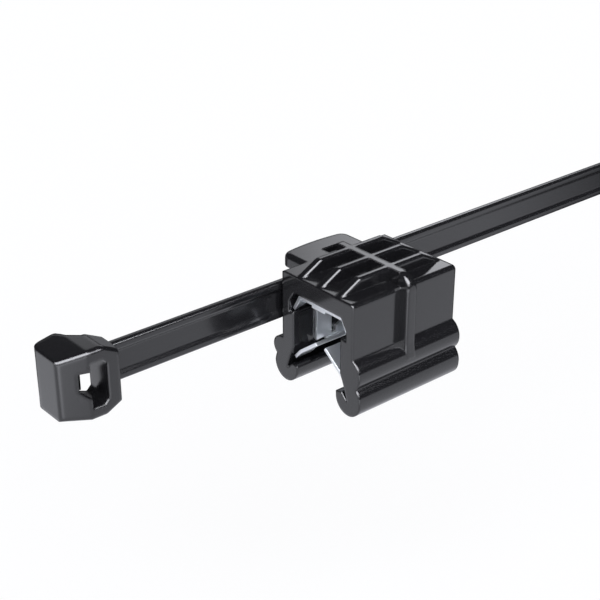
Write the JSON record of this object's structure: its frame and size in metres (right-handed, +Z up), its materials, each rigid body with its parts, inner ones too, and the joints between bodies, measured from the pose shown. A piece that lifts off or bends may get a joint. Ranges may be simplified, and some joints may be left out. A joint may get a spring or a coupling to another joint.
{
  "type": "edge clip cable tie",
  "caption": "Black nylon cable tie threaded through the side saddle of a clip that grips a panel edge with a barbed steel insert.",
  "frame": {"origin": "middle of the seat that the panel edge reaches, on the underside of the metal insert's web", "axes": "+X along the panel edge and along the strap towards its tail, +Y from the near wall to the saddle, +Z up, away from the clip's mouth"},
  "size_m": [0.16, 0.0173, 0.0153],
  "materials": {
    "clip_body": "glossy black moulded nylon",
    "metal_insert": "light blue-grey spring steel",
    "cable_tie": "glossy black moulded nylon"
  },
  "bodies": {
    "clip": {"clip_body": "clip_body", "metal_insert": "metal_insert"},
    "tie": {"cable_tie": "cable_tie"}
  },
  "joints": [
    {"name": "tie_slide", "type": "slide", "parent": "clip", "child": "tie", "axis": [1, 0, 0], "range_m": [-0.11, 0.022]}
  ]
}
